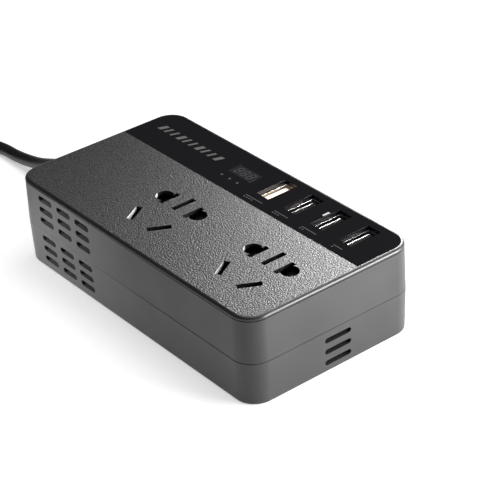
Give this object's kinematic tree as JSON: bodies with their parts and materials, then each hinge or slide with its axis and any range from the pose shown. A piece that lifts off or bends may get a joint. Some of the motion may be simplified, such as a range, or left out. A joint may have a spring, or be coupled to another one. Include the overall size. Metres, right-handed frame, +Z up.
{
  "type": "power inverter",
  "caption": "Flat car power inverter: two mains sockets, USB charging ports and a small meter on top, vented sides with a fan, and a coiled 12 V lead with an accessory plug.",
  "frame": {"origin": "centre of the casing's underside, without the lead and its plug", "axes": "+X along the casing's length, away from the lead; +Y across its width, towards the glossy strip with the USB ports; +Z up"},
  "size_m": [0.2235, 0.147, 0.033],
  "materials": {
    "shell_lower": "fine satin",
    "shell_upper": "fine satin",
    "cover": "leather grain",
    "gloss_black": "high gloss",
    "meter_lens": "smoked, glossy",
    "meter_body": "moulded",
    "screw_steel": "zinc plated",
    "board": "solder mask",
    "tin_plate": "tin plated",
    "insert_cream": "moulded",
    "insert_black": "moulded",
    "gold_contact": "plated",
    "housing": "moulded",
    "brass": "stamped",
    "shutter": "moulded",
    "spring_steel": "drawn wire",
    "fan_plastic": "moulded",
    "ferrite": "sintered",
    "copper": "enamelled wire",
    "can": "sleeved",
    "heatsink": "extruded",
    "epoxy": "moulded",
    "wire_red": "sleeved",
    "cable": "satin jacket",
    "tie": "moulded",
    "plug_plastic": "satin",
    "nickel": "nickel plated",
    "fuse_glass": "clear",
    "lamp_white": "milky",
    "lamp_red": "clear red"
  },
  "bodies": {
    "case": {"lower_casing": "shell_lower", "upper_casing": "shell_upper", "top_cover": "cover", "gloss_strip": "gloss_black", "display_window": "meter_lens", "display_module": "meter_body", "case_screws": "screw_steel", "main_board": "board", "usb_board": "board", "usb_shell_1": "tin_plate", "usb_shell_2": "tin_plate", "usb_shell_3": "tin_plate", "usb_shell_4": "tin_plate", "usb_insert_1": "insert_cream", "usb_insert_2": "insert_black", "usb_insert_3": "insert_black", "usb_insert_4": "insert_black", "usb_contacts": "gold_contact", "status_lamp": "lamp_white", "socket_housing_a": "housing", "socket_housing_b": "housing", "live_contact_a": "brass", "neutral_contact_a": "brass", "earth_contact_a": "brass", "live_contact_b": "brass", "neutral_contact_b": "brass", "earth_contact_b": "brass", "pair_springs_a": "spring_steel", "pair_springs_b": "spring_steel", "slant_spring_a": "spring_steel", "slant_spring_b": "spring_steel", "fan_frame": "fan_plastic", "transformer_core": "ferrite", "transformer_winding": "copper", "electrolytic_capacitors": "can", "heatsink": "heatsink", "mosfets": "epoxy", "filter_inductor": "copper", "input_wires": "wire_red", "cable_gland": "cable", "cable_lead": "cable", "cable_coil": "cable", "cable_tail": "cable", "cable_tie": "tie", "plug_shell_upper": "plug_plastic", "plug_shell_lower": "plug_plastic", "plug_nose_cap": "plug_plastic", "plug_spring": "spring_steel", "plug_boot": "cable", "plug_lamp": "lamp_red", "plug_screws": "screw_steel"},
    "fan": {"fan_rotor": "fan_plastic"},
    "pair_shutter_a": {"pair_shutter_a": "shutter"},
    "pair_shutter_b": {"pair_shutter_b": "shutter"},
    "slant_shutter_a": {"slant_shutter_a": "shutter"},
    "slant_shutter_b": {"slant_shutter_b": "shutter"},
    "plug_tip": {"plug_tip": "nickel", "plug_fuse": "fuse_glass"},
    "plug_contact_left": {"plug_contact_left": "nickel"},
    "plug_contact_right": {"plug_contact_right": "nickel"}
  },
  "joints": [
    {"name": "fan_spin", "type": "hinge", "parent": "case", "child": "fan", "pos_m": [-0.0375, -0.029, 0.0165], "axis": [0, 1, 0], "continuous": true},
    {"name": "pair_shutter_a_slide", "type": "slide", "parent": "case", "child": "pair_shutter_a", "axis": [0, 1, 0], "range_m": [0, 0.0096], "stiffness_N_per_m": 40, "springref_m": -0.004, "deforming": ["pair_springs_a"]},
    {"name": "slant_shutter_a_slide", "type": "slide", "parent": "case", "child": "slant_shutter_a", "axis": [-1, 0, 0], "range_m": [0, 0.0065], "stiffness_N_per_m": 40, "springref_m": -0.004, "deforming": ["slant_spring_a"]},
    {"name": "pair_shutter_b_slide", "type": "slide", "parent": "case", "child": "pair_shutter_b", "axis": [0, 1, 0], "range_m": [0, 0.0096], "stiffness_N_per_m": 40, "springref_m": -0.004, "deforming": ["pair_springs_b"]},
    {"name": "slant_shutter_b_slide", "type": "slide", "parent": "case", "child": "slant_shutter_b", "axis": [-1, 0, 0], "range_m": [0, 0.0065], "stiffness_N_per_m": 40, "springref_m": -0.004, "deforming": ["slant_spring_b"]},
    {"name": "plug_tip_press", "type": "slide", "parent": "case", "child": "plug_tip", "axis": [-1, 0, 0], "range_m": [0, 0.003], "stiffness_N_per_m": 600, "springref_m": -0.003, "deforming": ["plug_spring"]},
    {"name": "plug_contact_left_press", "type": "slide", "parent": "case", "child": "plug_contact_left", "axis": [0, -1, 0], "range_m": [0, 0.0012], "stiffness_N_per_m": 800, "springref_m": -0.001},
    {"name": "plug_contact_right_press", "type": "slide", "parent": "case", "child": "plug_contact_right", "axis": [0, 1, 0], "range_m": [0, 0.0012], "stiffness_N_per_m": 800, "springref_m": -0.001}
  ]
}
